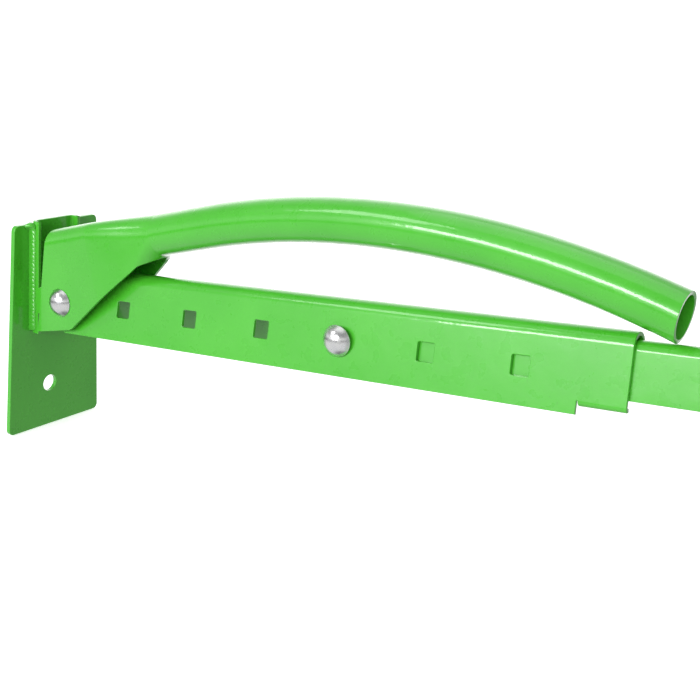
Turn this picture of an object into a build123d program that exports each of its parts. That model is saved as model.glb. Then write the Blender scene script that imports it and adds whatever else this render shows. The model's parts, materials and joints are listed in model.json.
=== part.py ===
from build123d import *
from math import atan, cos, degrees, radians, sin, sqrt, tan
import os

os.makedirs("parts", exist_ok=True)

# A telescoping overhead bar: two nested pressed channels between two hinged end plates, with a
# curved lever over the left half.  Millimetres, +Z up, X along the bar, the front of the bar
# faces -Y.  The origin is on the floor, midway between the two end plates.

# ---- bar -------------------------------------------------------------------------------------
PIVOT_SPAN = 770.0        # from pivot bolt to pivot bolt
HOLE_LINE_DROP = 1.5      # the row of square holes lies this far below the pivots
HOLE_PITCH = 50.8
HOLE_COUNT = 6
SQUARE_HOLE = 9.65
SHEET = 2.0               # wall of both channels and of the lever
FLARE = 13.5              # lean of each channel wall from the vertical, degrees

PIVOT_TO_FIRST_HOLE = 43.5
CHANNEL_END_PAST_PIVOT = 14.5
CHANNEL_LENGTH = 365.0
CHANNEL_HALF_WIDTH = 10.6  # outside, at the hole line
CHANNEL_TOP = 20.0         # above the hole line
CHANNEL_BOTTOM = -18.1
END_CHAMFER_X = 12.0       # lower corner of the channel cut away inside the bracket
END_CHAMFER_Z = 7.0

LIP_LENGTH = 23.0
LIP_REACH = 4.2
LIP_UNDERSIDE = -14.9      # below the hole line
LIP_NOTCH_END = 0.8        # the notch over the lips runs this far past them

INNER_TOP = 16.3
INNER_BOTTOM = -9.5
INNER_START_HOLE = 2.6     # left end of the inner channel, in hole pitches
INNER_END_PAST_PIVOT = 12.0
LOCK_HOLE = 3              # the hole that holds the length bolt

# ---- end plates and brackets -------------------------------------------------------------------
PLATE_TILT = 7.2           # each free plate leans its top towards the bar, degrees
PLATE_FOOT_WIDTH = 74.6
PLATE_HEAD_WIDTH = 66.2
PLATE_SIDE_SHIFT = 4.6     # from the bracket's centre line to the plate's
PLATE_THICKNESS = 3.0
PLATE_CORNER = 3.5
PLATE_BELOW_PIVOT = 91.0
PLATE_ABOVE_PIVOT = 41.8
PLATE_HOLE_RADIUS = 5.2
PLATE_HOLE_UP = 27.9
PIVOT_FROM_PLATE = 28.7

BRACKET_SHEET = 2.3
BRACKET_HALF_WIDTH = 16.6  # outside
BRACKET_BELOW_PIVOT = 25.5
BRACKET_ABOVE_PIVOT = 44.4
BOSS_RADIUS = 11.5
FLANGE_WIDTH = 7.2         # of the strip down the plate; the ear grows out of its middle
EAR_LOW = -12.0            # where the ear leaves the strip, up from the pivot
EAR_HIGH = 4.0
BOSS_MEETS_LOW = 268.0     # where the ear's straight edges run onto the boss, degrees
BOSS_MEETS_HIGH = 110.0
WELD_ON_PLATE = 1.3        # legs of the fillet weld, on the plate and on the flange
WELD_ON_FLANGE = 5.0
WELD_FACE = 0.55           # how far the bead's face stands out, as a share of its legs
WELD_END_GAP = 1.0         # each bead stops this far short of the bracket's ends

# ---- lever -------------------------------------------------------------------------------------
TUBE_RADIUS = 12.0
ARC_RADIUS = 500.0
ARC_APEX = (196.5, 58.1)   # tube centre at the top of the arc, from the pivot
ARC_START = 93.0           # the arc begins this far left of its apex and ends this far right
ARC_END = 173.7
MOUTH_LEAN = 12.0          # of the cut at the tube's open end, from the vertical, degrees
MOUTH_SPARE = 4.0          # extra tube that the cut removes
CLEVIS_HALF_WIDTH = 18.9
CLEVIS_TOP = 14.0          # above the tube's straight centre line
CLEVIS_DEPTH = 60.0
CLEVIS_CORNER = 8.0
CLEVIS_START = 24.0        # full clevis section left of here, round tube right of TUBE_START
TUBE_START = 68.0
BLEND_STEP = 12.0          # length of the first and last stretches of the blend between them
# Edges of the clevis in side view, from the pivot.
CHEEK_LOW = (7.0, -16.0)   # lower edge, ahead of the pivot
CHEEK_LOW_LEFT = (-60.0, -25.7)  # a point on the same edge, beyond its left end
SLIT_CORNER = (59.5, 25.7)
SLIT_END = (70.5, 30.2)    # the slit under the tube closes here
SLIT_END_SLOPE = 0.2
HEEL_LOW = (-26.2, -40.0)  # two points on the line of the left edge
HEEL_HIGH = (-6.4, 50.0)

# ---- bolts -------------------------------------------------------------------------------------
SHANK_RADIUS = 4.0
RUNNING_RADIUS = 4.08      # round holes that turn on a bolt
NECK = 8.0
NECK_HOLE = 8.3
HEAD_RADIUS = 8.4
HEAD_HEIGHT = 5.4
NUT_FLATS = 13.0
NUT_HEIGHT = 6.0
COLLAR_HEIGHT = 2.2
WASHER_RADIUS = 8.0
WASHER_THICKNESS = 1.6
THREAD_PAST_NUT = 2.0
BUSH_RADIUS = 6.5
BUSH_HALF_LENGTH = 14.0
BUSH_GAP = 0.05            # between each bush and the hole that it is pressed into

THROUGH = 80.0             # longer than any piece is wide; for cutting tools

PIVOT_Z = PLATE_BELOW_PIVOT * cos(radians(PLATE_TILT)) - PIVOT_FROM_PLATE * sin(radians(PLATE_TILT))
HOLE_LINE_Z = PIVOT_Z - HOLE_LINE_DROP
PIVOT_LEFT_X = -PIVOT_SPAN / 2
PIVOT_RIGHT_X = PIVOT_SPAN / 2
FIRST_HOLE_X = PIVOT_LEFT_X + PIVOT_TO_FIRST_HOLE
CHANNEL_LEFT_X = PIVOT_LEFT_X - CHANNEL_END_PAST_PIVOT
CHANNEL_RIGHT_X = CHANNEL_LEFT_X + CHANNEL_LENGTH
LOCK_X = FIRST_HOLE_X + LOCK_HOLE * HOLE_PITCH


def save(shape, name):
    """Write one named piece."""
    shape.label = name
    export_step(shape, f"parts/{name}.step")


def arch_face(half_width, top, bottom, inset=0.0):
    """Cross-section of a leaning-sided arch; half_width is taken at the hole line."""
    lean = radians(FLARE)
    radius = (half_width * cos(lean) - top * sin(lean)) / (1 - sin(lean))
    centre = top - radius
    half_width -= inset / cos(lean)
    radius -= inset
    foot = half_width - bottom * tan(lean)
    side = (radius * cos(lean), centre + radius * sin(lean))
    outline = (
        Line((-foot, bottom), (-side[0], side[1]))
        + ThreePointArc((-side[0], side[1]), (0, centre + radius), side)
        + Line(side, (foot, bottom))
        + Line((foot, bottom), (-foot, bottom))
    )
    return make_face(outline)


def channel(half_width, top, bottom, left, right):
    """An inverted U pressed from sheet, open underneath."""
    skin = arch_face(half_width, top, bottom)
    skin -= arch_face(half_width, top, bottom - 5 * SHEET, SHEET)
    return extrude(Plane.YZ.offset(left) * Pos(0, HOLE_LINE_Z) * skin, right - left)


def square_hole(x):
    return Pos(x, 0, HOLE_LINE_Z) * Box(SQUARE_HOLE, THROUGH, SQUARE_HOLE * cos(radians(FLARE)))


def cross_pin(radius, half_length, x, z):
    """A round bar lying across the object."""
    return Pos(x, 0, z) * Rot(90, 0, 0) * Cylinder(radius, 2 * half_length)


def side_prism(points, half_width):
    """An outline in the XZ plane, extruded equally to the front and the back."""
    face = make_face(Polyline(*points, close=True))
    return extrude(Plane.XZ * face, half_width, both=True)


def outer_channel():
    body = channel(CHANNEL_HALF_WIDTH, CHANNEL_TOP, CHANNEL_BOTTOM, CHANNEL_LEFT_X, CHANNEL_RIGHT_X)
    for index in range(HOLE_COUNT):
        body -= square_hole(FIRST_HOLE_X + index * HOLE_PITCH)
    body -= cross_pin(BUSH_RADIUS + BUSH_GAP, THROUGH, PIVOT_LEFT_X, PIVOT_Z)
    foot = HOLE_LINE_Z + CHANNEL_BOTTOM
    body -= side_prism(
        [
            (CHANNEL_LEFT_X - 1, foot - 1),
            (CHANNEL_LEFT_X - 1, foot + END_CHAMFER_Z),
            (CHANNEL_LEFT_X, foot + END_CHAMFER_Z),
            (CHANNEL_LEFT_X + END_CHAMFER_X, foot),
            (CHANNEL_LEFT_X + END_CHAMFER_X, foot - 1),
        ],
        THROUGH,
    )
    return body - retaining_notch() + retaining_lips()


def retaining_notch():
    """Clears the bottom of both walls at the mouth, where the lips are folded in."""
    height = LIP_UNDERSIDE - CHANNEL_BOTTOM + 1
    middle = HOLE_LINE_Z + LIP_UNDERSIDE - height / 2
    return Pos(CHANNEL_RIGHT_X, 0, middle) * Box(2 * (LIP_LENGTH + LIP_NOTCH_END), THROUGH, height)


def retaining_lips():
    """Two lips folded in under the inner channel at the mouth of the outer one."""
    face_y = CHANNEL_HALF_WIDTH - (LIP_UNDERSIDE + SHEET) * tan(radians(FLARE))
    middle_x = CHANNEL_RIGHT_X - LIP_LENGTH / 2
    lips = []
    for side in (-1, 1):
        place = Pos(middle_x, side * (face_y - LIP_REACH / 2), HOLE_LINE_Z + LIP_UNDERSIDE + SHEET / 2)
        lips.append(place * Box(LIP_LENGTH, LIP_REACH, SHEET))
    return lips


def inner_channel():
    left = FIRST_HOLE_X + INNER_START_HOLE * HOLE_PITCH
    drop = CHANNEL_TOP - SHEET - INNER_TOP
    lean = radians(FLARE)
    half_width = CHANNEL_HALF_WIDTH - SHEET / cos(lean) - drop * tan(lean)
    body = channel(half_width, INNER_TOP, INNER_BOTTOM, left, PIVOT_RIGHT_X + INNER_END_PAST_PIVOT)
    body -= square_hole(LOCK_X)
    return body - cross_pin(BUSH_RADIUS + BUSH_GAP, THROUGH, PIVOT_RIGHT_X, PIVOT_Z)


def pivot_bush(x):
    return cross_pin(BUSH_RADIUS, BUSH_HALF_LENGTH, x, PIVOT_Z) - cross_pin(
        RUNNING_RADIUS, THROUGH, x, PIVOT_Z
    )


def at_left_plate(shape):
    """From the plate's own frame (X out of the plate, Z up it, origin on the pivot) to the bar."""
    return Pos(PIVOT_LEFT_X, 0, PIVOT_Z) * Rot(0, PLATE_TILT, 0) * shape


def at_right_end(shape):
    return mirror(shape, Plane.YZ)


def turned_about(shape):
    """The same piece used at the other end of the bar."""
    return Rot(0, 0, 180) * shape


def end_plate():
    """A plate tapering to its head, off centre behind the bracket, hung on one hole near its foot."""
    low, high = -PLATE_BELOW_PIVOT, PLATE_ABOVE_PIVOT
    foot, head = PLATE_FOOT_WIDTH / 2, PLATE_HEAD_WIDTH / 2
    face = make_face(Polyline((-foot, low), (foot, low), (head, high), (-head, high), close=True))
    face = Pos(PLATE_SIDE_SHIFT, 0) * fillet(face.vertices(), PLATE_CORNER)
    face -= Pos(0, low + PLATE_HOLE_UP) * Circle(PLATE_HOLE_RADIUS)
    outer_face = -PIVOT_FROM_PLATE - PLATE_THICKNESS
    return extrude(Plane.YZ.offset(outer_face) * face, PLATE_THICKNESS)


def on_boss(angle):
    return BOSS_RADIUS * cos(radians(angle)), BOSS_RADIUS * sin(radians(angle))


def flange_outline():
    """Side view of a bracket flange: a straight strip with an ear that ends in a round boss."""
    root = -PIVOT_FROM_PLATE
    edge = root + FLANGE_WIDTH
    ear = make_face(
        Polyline(
            (root, -BRACKET_BELOW_PIVOT),
            (edge, -BRACKET_BELOW_PIVOT),
            (edge, EAR_LOW),
            on_boss(BOSS_MEETS_LOW),
            on_boss(BOSS_MEETS_HIGH),
            (edge, EAR_HIGH),
            (edge, BRACKET_ABOVE_PIVOT),
            (root, BRACKET_ABOVE_PIVOT),
            close=True,
        )
    )
    return ear + Circle(BOSS_RADIUS)


def bracket(square_neck):
    """U bracket; one flange has a square hole where the bolt's neck must not turn."""
    height = BRACKET_BELOW_PIVOT + BRACKET_ABOVE_PIVOT
    middle = (BRACKET_ABOVE_PIVOT - BRACKET_BELOW_PIVOT) / 2
    root = -PIVOT_FROM_PLATE
    solid = Pos(root + BRACKET_SHEET / 2, 0, middle) * Box(
        BRACKET_SHEET, 2 * BRACKET_HALF_WIDTH, height
    )
    flange = flange_outline() - Circle(RUNNING_RADIUS)
    for outside in (-BRACKET_HALF_WIDTH, BRACKET_HALF_WIDTH - BRACKET_SHEET):
        solid += extrude(Plane.XZ.offset(-outside) * flange, -BRACKET_SHEET)
    if square_neck:
        solid -= Pos(0, -BRACKET_HALF_WIDTH, 0) * Box(NECK_HOLE, 3 * BRACKET_SHEET, NECK_HOLE)
    return solid


def bracket_welds():
    """Two fillet welds, one down the outside of each flange."""
    length = BRACKET_BELOW_PIVOT + BRACKET_ABOVE_PIVOT - 2 * WELD_END_GAP
    low = WELD_END_GAP - BRACKET_BELOW_PIVOT
    flange_toe, plate_toe = (WELD_ON_FLANGE, 0), (0, WELD_ON_PLATE)
    crown = (WELD_FACE * WELD_ON_FLANGE, WELD_FACE * WELD_ON_PLATE)
    section = make_face(
        Line((0, 0), flange_toe) + ThreePointArc(flange_toe, crown, plate_toe) + Line(plate_toe, (0, 0))
    )
    back = Pos(-PIVOT_FROM_PLATE, BRACKET_HALF_WIDTH, low) * extrude(section, length)
    return [back, mirror(back, Plane.XZ)]


def lever_section(distance, grow):
    """Closed section of the lever's straight part, square to it; grow is minus the wall inside."""
    blend = (TUBE_START - distance) / (TUBE_START - CLEVIS_START)
    blend = max(0.0, min(1.0, blend))
    half_width = TUBE_RADIUS + blend * (CLEVIS_HALF_WIDTH - TUBE_RADIUS) + grow
    top = TUBE_RADIUS + blend * (CLEVIS_TOP - TUBE_RADIUS) + grow
    bottom = TUBE_RADIUS + blend * (CLEVIS_DEPTH - TUBE_RADIUS) + grow
    corner = TUBE_RADIUS + blend * (CLEVIS_CORNER - TUBE_RADIUS) + grow
    corner = min(corner, half_width - 0.01)
    face = RectangleRounded(2 * half_width, top + bottom, corner)
    return Pos(0, (top - bottom) / 2) * face


def from_left_pivot(point):
    return PIVOT_LEFT_X + point[0], PIVOT_Z + point[1]


def straight_plane(distance):
    """Plane across the straight part of the lever, this far along it from above the pivot."""
    rise = sqrt(ARC_RADIUS**2 - ARC_START**2)
    along = Vector(rise, 0, ARC_START).normalized()
    x, z = from_left_pivot((ARC_APEX[0] - ARC_START, ARC_APEX[1] - ARC_RADIUS + rise))
    origin = Vector(x, 0, z) + along * (distance - ARC_APEX[0] + ARC_START)
    return Plane(origin, x_dir=(0, 1, 0), z_dir=along)


def on_arc(run):
    """Tube centre this far right of the arc's apex."""
    x, z = from_left_pivot(ARC_APEX)
    return Vector(x + run, 0, z - ARC_RADIUS + sqrt(ARC_RADIUS**2 - run**2))


def lever_core(grow, overrun):
    """The lever before trimming: outside skin at grow 0, inside at minus the wall."""
    stations = [TUBE_START, TUBE_START - BLEND_STEP, CLEVIS_START + BLEND_STEP, CLEVIS_START]
    blend = loft([straight_plane(d) * lever_section(d, grow) for d in stations], ruled=True)
    clevis = extrude(straight_plane(CLEVIS_START) * lever_section(CLEVIS_START, grow), -THROUGH)

    arc_start = straight_plane(ARC_APEX[0] - ARC_START).origin
    arc_end = on_arc(ARC_END + MOUTH_SPARE)
    path = Line(straight_plane(TUBE_START).origin, arc_start)
    path += ThreePointArc(arc_start, on_arc(0), arc_end)
    tube = sweep(straight_plane(TUBE_START) * Circle(TUBE_RADIUS + grow), path=path)

    solid = tube + blend + clevis
    if overrun:
        mouth = Plane(arc_end, x_dir=(0, 1, 0), z_dir=path % 1)
        solid += extrude(mouth * Circle(TUBE_RADIUS + grow), overrun)
    return solid


def under_clevis():
    """Everything below the lower edge of the cheeks and of the slit that they close to."""
    low_left = from_left_pivot(CHEEK_LOW_LEFT)
    corner = from_left_pivot(SLIT_CORNER)
    end = from_left_pivot(SLIT_END)
    floor = PIVOT_Z - THROUGH
    edge = Polyline((low_left[0], floor), low_left, from_left_pivot(CHEEK_LOW), corner)
    diagonal = (SLIT_CORNER[0] - CHEEK_LOW[0], SLIT_CORNER[1] - CHEEK_LOW[1])
    edge += Spline(corner, end, tangents=[diagonal, (1, SLIT_END_SLOPE)])
    edge += Polyline(end, (end[0], floor), (low_left[0], floor))
    return extrude(Plane.XZ * make_face(edge), THROUGH, both=True)


def left_of_heel():
    low = from_left_pivot(HEEL_LOW)
    high = from_left_pivot(HEEL_HIGH)
    far_left = PIVOT_LEFT_X - 2 * THROUGH
    return side_prism([low, high, (far_left, high[1]), (far_left, low[1])], THROUGH)


def past_mouth():
    """Everything right of the cut at the tube's open end."""
    lean = radians(MOUTH_LEAN)
    cut = Plane(on_arc(ARC_END), x_dir=(0, 1, 0), z_dir=(cos(lean), 0, -sin(lean)))
    return extrude(cut * Rectangle(THROUGH, THROUGH), THROUGH)


def lever():
    """Curved tube rolled from the same blank as its clevis, open below over the bracket."""
    body = lever_core(0.0, 0) - lever_core(-SHEET, 2 * SHEET)
    body -= under_clevis()
    body -= left_of_heel()
    body -= past_mouth()
    body -= Pos(PIVOT_LEFT_X, -CLEVIS_HALF_WIDTH, PIVOT_Z) * Box(NECK_HOLE, 3 * SHEET, NECK_HOLE)
    far_hole = cross_pin(RUNNING_RADIUS, 1.5 * SHEET, PIVOT_LEFT_X, PIVOT_Z)
    return body - Pos(0, CLEVIS_HALF_WIDTH, 0) * far_hole


def carriage_bolt(seat, tip, neck_length, neck_turn, x, z):
    """Domed head in front, square neck behind it; seat is the Y of the head's underside."""
    dome_radius = (HEAD_RADIUS**2 + HEAD_HEIGHT**2) / (2 * HEAD_HEIGHT)
    dome = Pos(0, 0, HEAD_HEIGHT - dome_radius) * Sphere(dome_radius)
    head = dome & (Pos(0, 0, HEAD_HEIGHT) * Box(40, 40, 2 * HEAD_HEIGHT))
    length = tip - seat
    shank = Pos(0, 0, -length / 2) * Cylinder(SHANK_RADIUS, length)
    shank = chamfer(shank.faces().sort_by(Axis.Z)[0].edges(), 0.8)
    neck = Pos(0, 0, -neck_length / 2) * Box(NECK, NECK, neck_length)
    return Pos(x, seat, z) * Rot(0, neck_turn, 0) * Rot(90, 0, 0) * (head + shank + neck)


def lock_nut(seat, x, z):
    """Hexagon nut with a plain locking collar, bearing on seat."""
    hexagon = extrude(RegularPolygon(NUT_FLATS / 2, 6, major_radius=False), NUT_HEIGHT)
    corners = Cylinder(0.56 * NUT_FLATS, 2 * NUT_HEIGHT)
    nut = (hexagon & corners) + Pos(0, 0, NUT_HEIGHT + COLLAR_HEIGHT / 2) * Cylinder(
        0.42 * NUT_FLATS, COLLAR_HEIGHT
    )
    nut -= Cylinder(SHANK_RADIUS + 0.05, 60)
    return Pos(x, seat, z) * Rot(-90, 0, 0) * nut


def washer(seat, x, z):
    ring = Circle(WASHER_RADIUS) - Circle(SHANK_RADIUS + 0.2)
    return Pos(x, seat, z) * Rot(-90, 0, 0) * extrude(ring, WASHER_THICKNESS)


def save_fastening(name, seat, neck_length, neck_turn, x, z):
    """Carriage bolt, washer and lock nut clamping between -seat and +seat."""
    nut_seat = seat + WASHER_THICKNESS
    tip = nut_seat + NUT_HEIGHT + COLLAR_HEIGHT + THREAD_PAST_NUT
    save(carriage_bolt(-seat, tip, neck_length, neck_turn, x, z), f"{name}_bolt")
    save(washer(seat, x, z), f"{name}_washer")
    save(lock_nut(nut_seat, x, z), f"{name}_nut")


save(outer_channel(), "outer_channel")
save(inner_channel(), "inner_channel")
save(pivot_bush(PIVOT_LEFT_X), "left_pivot_bush")
save(pivot_bush(PIVOT_RIGHT_X), "right_pivot_bush")
save(lever(), "lever_tube")

left_plate = at_left_plate(end_plate())
left_bracket = at_left_plate(bracket(False))
right_bracket = at_right_end(at_left_plate(bracket(True)))
left_welds = [at_left_plate(bead) for bead in bracket_welds()]
save(left_plate, "left_end_plate")
save(left_bracket, "left_bracket")
save(Compound(children=left_welds), "left_bracket_welds")
save(turned_about(left_plate), "right_end_plate")
save(right_bracket, "right_bracket")
save(Compound(children=[at_right_end(bead) for bead in left_welds]), "right_bracket_welds")

wall_foot = CHANNEL_HALF_WIDTH + HEAD_RADIUS * tan(radians(FLARE)) + 0.02
save_fastening("left_pivot", CLEVIS_HALF_WIDTH, 1.9, 0, PIVOT_LEFT_X, PIVOT_Z)
save_fastening("right_pivot", BRACKET_HALF_WIDTH, 2.2, -PLATE_TILT, PIVOT_RIGHT_X, PIVOT_Z)
save_fastening("length", wall_foot, 4.0, 0, LOCK_X, HOLE_LINE_Z)
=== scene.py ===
import bmesh
import bpy
import json
from math import acos, atan2, cos, floor, pi, radians, sin, sqrt, tan
from mathutils import Matrix, Vector, geometry, noise


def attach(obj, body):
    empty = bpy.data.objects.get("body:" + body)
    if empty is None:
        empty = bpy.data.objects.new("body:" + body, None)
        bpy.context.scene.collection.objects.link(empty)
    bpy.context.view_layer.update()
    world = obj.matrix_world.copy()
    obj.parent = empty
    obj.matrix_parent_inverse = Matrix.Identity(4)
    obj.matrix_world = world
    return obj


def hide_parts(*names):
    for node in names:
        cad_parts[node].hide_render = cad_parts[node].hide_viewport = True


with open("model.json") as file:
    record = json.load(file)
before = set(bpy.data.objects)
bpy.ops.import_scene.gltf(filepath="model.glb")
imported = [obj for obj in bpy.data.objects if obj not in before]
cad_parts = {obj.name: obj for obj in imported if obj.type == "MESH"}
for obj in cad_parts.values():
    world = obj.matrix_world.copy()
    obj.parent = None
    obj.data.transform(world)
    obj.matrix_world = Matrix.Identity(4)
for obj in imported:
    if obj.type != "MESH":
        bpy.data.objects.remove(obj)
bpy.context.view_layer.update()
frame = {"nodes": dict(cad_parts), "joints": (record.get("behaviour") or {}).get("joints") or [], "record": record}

# The bar, its end brackets and its lever again as fine meshes, in millimetres here and in metres in
# the scene.  Every place is measured from the two pivots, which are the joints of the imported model.
MM = 0.001
RECORD = frame["record"]
JOINTS = {joint["name"]: joint for joint in frame["joints"]}
LEFT_PIVOT = Vector(JOINTS["lever_lift"]["pos_m"]) / MM
RIGHT_PIVOT = Vector(JOINTS["right_plate_swing"]["pos_m"]) / MM
BODY_OF = {node: body for body, nodes in RECORD["behaviour"]["bodies"].items() for node in nodes}
SLOT_OF = {part["node"]: part["material_slot"] for part in RECORD["subparts"]}

# ---- sizes, as in the CAD source ---------------------------------------------------------------
HOLE_LINE_DROP = 1.5
HOLE_LINE_Z = LEFT_PIVOT.z - HOLE_LINE_DROP
HOLE_PITCH = 50.8
HOLE_COUNT = 6
SQUARE_HOLE = 9.65
HOLE_CORNER = 0.9
SHEET = 2.0
LEAN = radians(13.5)
PIVOT_TO_FIRST_HOLE = 43.5
CHANNEL_END_PAST_PIVOT = 14.5
CHANNEL_LENGTH = 365.0
CHANNEL_HALF_WIDTH = 10.6
CHANNEL_TOP = 20.0
CHANNEL_BOTTOM = -18.1
END_CHAMFER_X = 12.0
END_CHAMFER_Z = 7.0
LIP_LENGTH = 23.0
LIP_SLOT = 0.6
LIP_REACH = 4.2
LIP_UNDERSIDE = -14.9
LIP_BEND = 2.4
LIP_CORNER = 0.7          # cut off the free corners of each lip
INNER_TOP = 16.3
INNER_BOTTOM = -9.5
INNER_START_HOLE = 2.6    # left end of the inner channel, in hole pitches
INNER_END_PAST_PIVOT = 12.0
LOCK_HOLE = 3             # the bolted hole, counted from 0
FIRST_HOLE_X = LEFT_PIVOT.x + PIVOT_TO_FIRST_HOLE
CHANNEL_LEFT_X = LEFT_PIVOT.x - CHANNEL_END_PAST_PIVOT
CHANNEL_RIGHT_X = CHANNEL_LEFT_X + CHANNEL_LENGTH
INNER_LEFT_X = FIRST_HOLE_X + INNER_START_HOLE * HOLE_PITCH
INNER_RIGHT_X = RIGHT_PIVOT.x + INNER_END_PAST_PIVOT
LOCK_X = FIRST_HOLE_X + LOCK_HOLE * HOLE_PITCH

PLATE_TILT = radians(7.2)
PLATE_FOOT_WIDTH = 74.6
PLATE_HEAD_WIDTH = 66.2
PLATE_SIDE_SHIFT = 4.6
PLATE_THICKNESS = 3.0
PLATE_CORNER = 3.5
PLATE_BELOW_PIVOT = 91.0
PLATE_ABOVE_PIVOT = 41.8
PLATE_HOLE_RADIUS = 5.2
PLATE_HOLE_UP = 27.9
PIVOT_FROM_PLATE = 28.7
BRACKET_SHEET = 2.3
BRACKET_HALF_WIDTH = 16.6
BRACKET_BELOW_PIVOT = 25.5
BRACKET_ABOVE_PIVOT = 44.4
BRACKET_BEND = 4.0
BOSS_RADIUS = 11.5
BOSS_MEETS_LOW = radians(-92.0)
BOSS_MEETS_HIGH = radians(110.0)
FLANGE_WIDTH = 7.2
EAR_LOW = -12.0
EAR_HIGH = 4.0
WELD_ON_PLATE = 1.3
WELD_ON_FLANGE = 5.0
WELD_END_GAP = 1.0
WELD_BLOB = 3.4          # extra size of each bead where it ends at the plate's top edge
WELD_BLOB_DOWN = 2.4      # from the bead's top end to the middle of the blob
WELD_BLOB_REACH = 2.6
WELD_RIPPLE = 2.5         # pitch of the ripples
WELD_BITE = 0.2           # the bead sinks this far into the plate
WELD_ROOT = 0.6           # and this far into the flange

TUBE_RADIUS = 12.0
ARC_RADIUS = 500.0
ARC_APEX = (196.5, 58.1)
ARC_START = 93.0
ARC_END = 173.7
MOUTH_LEAN = radians(12.0)
MOUTH_EASE = 30.0         # the rings of the tube turn into the plane of its end over this length
CLEVIS_HALF_WIDTH = 18.9
CLEVIS_TOP = 14.0
CLEVIS_DEPTH = 60.0
CLEVIS_CORNER = 8.0
CLEVIS_START = 24.0
TUBE_START = 68.0
CHEEK_LOW_LEFT = (-60.0, -25.7)
CHEEK_LOW = (7.0, -16.0)
SLIT_CORNER = (59.5, 25.7)
SLIT_END = (70.5, 30.2)
HEEL_LOW = (-26.2, -40.0)
HEEL_HIGH = (-6.4, 50.0)

SHANK_RADIUS = 4.0
HEAD_RADIUS = 8.4
HEAD_HEIGHT = 5.4
NECK = 8.0
NECK_HOLE = 8.3
NECK_CORNER = 0.6
PIN_CLEARANCE = 0.08
BUSH_CLEARANCE = 0.05
WASHER_CLEARANCE = 0.2
THREAD_LENGTH = 14.0
THREAD_DEPTH = 0.55
LEFT_NECK_LENGTH = 1.9
RIGHT_NECK_LENGTH = 2.2
LOCK_NECK_LENGTH = 4.0
NUT_CHAMFER = radians(28)
NUT_FLATS = 13.0
NUT_HEIGHT = 6.0
COLLAR_HEIGHT = 2.2
WASHER_RADIUS = 8.0
WASHER_THICKNESS = 1.6
THREAD_PAST_NUT = 2.0
THREAD_PITCH = 1.25
BUSH_RADIUS = 6.5

ROUNDING = 0.38          # radius on the cut edges of the sheet metal
ROUNDING_STEPS = 3
CIRCLE_STEPS = 48
LEVER_RING_HALF = 40      # mesh columns from the top of the lever to its lower edge
HEEL_ROWS = 20
CLEVIS_ROW_SPACING = 0.5
CLEVIS_ROWS = 88
ARC_ROWS = 72


# ---- node materials ----------------------------------------------------------------------------
class Nodes:
    """Short calls for building the node tree of a material or of the world."""

    def __init__(self, owner):
        owner.use_nodes = True
        self.tree = owner.node_tree
        self.tree.nodes.clear()

    def add(self, kind, inputs=None, **settings):
        node = self.tree.nodes.new(kind)
        for name, value in settings.items():
            setattr(node, name, value)
        for name, value in (inputs or {}).items():
            self.put(node.inputs[name], value)
        return node

    def put(self, socket, value):
        if isinstance(value, bpy.types.NodeSocket):
            self.tree.links.new(value, socket)
        else:
            socket.default_value = value

    def noise(self, vector, scale, detail=2.0, rough=0.5):
        inputs = {"Vector": vector, "Scale": scale, "Detail": detail, "Roughness": rough}
        return self.add("ShaderNodeTexNoise", inputs).outputs["Fac"]

    def ramp(self, value, low, high, to_low=0.0, to_high=1.0):
        node = self.add("ShaderNodeMapRange", {"Value": value}, clamp=True)
        limits = {"From Min": low, "From Max": high, "To Min": to_low, "To Max": to_high}
        for name, number in limits.items():
            node.inputs[name].default_value = number
        return node.outputs["Result"]

    def math(self, operation, first, second):
        node = self.add("ShaderNodeMath", operation=operation)
        self.put(node.inputs[0], first)
        self.put(node.inputs[1], second)
        return node.outputs[0]

    def mix(self, factor, first, second):
        node = self.add("ShaderNodeMix", data_type="RGBA")
        self.put(node.inputs["Factor"], factor)
        self.put(node.inputs[6], first)
        self.put(node.inputs[7], second)
        return node.outputs[2]

    def mix_number(self, factor, first, second):
        node = self.add("ShaderNodeMix", {"Factor": factor}, data_type="FLOAT")
        self.put(node.inputs[2], first)
        self.put(node.inputs[3], second)
        return node.outputs[0]

    def bump(self, height, distance, strength=1.0, normal=None):
        node = self.add("ShaderNodeBump", {"Height": height, "Distance": distance, "Strength": strength})
        if normal is not None:
            self.put(node.inputs["Normal"], normal)
        return node.outputs["Normal"]

    def object_point(self):
        return self.add("ShaderNodeTexCoord").outputs["Object"]

    def finish(self, inputs):
        shader = self.add("ShaderNodeBsdfPrincipled", inputs)
        output = self.add("ShaderNodeOutputMaterial")
        self.tree.links.new(shader.outputs["BSDF"], output.inputs["Surface"])


def edge_mask(nodes, radius, low, high):
    """1 on sharp convex edges, 0 on open faces."""
    bevel = nodes.add("ShaderNodeBevel", {"Radius": radius}, samples=4)
    plain = nodes.add("ShaderNodeNewGeometry").outputs["Normal"]
    dot = nodes.add("ShaderNodeVectorMath", operation="DOT_PRODUCT")
    nodes.put(dot.inputs[0], bevel.outputs["Normal"])
    nodes.put(dot.inputs[1], plain)
    return nodes.ramp(dot.outputs["Value"], high, low)


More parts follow.
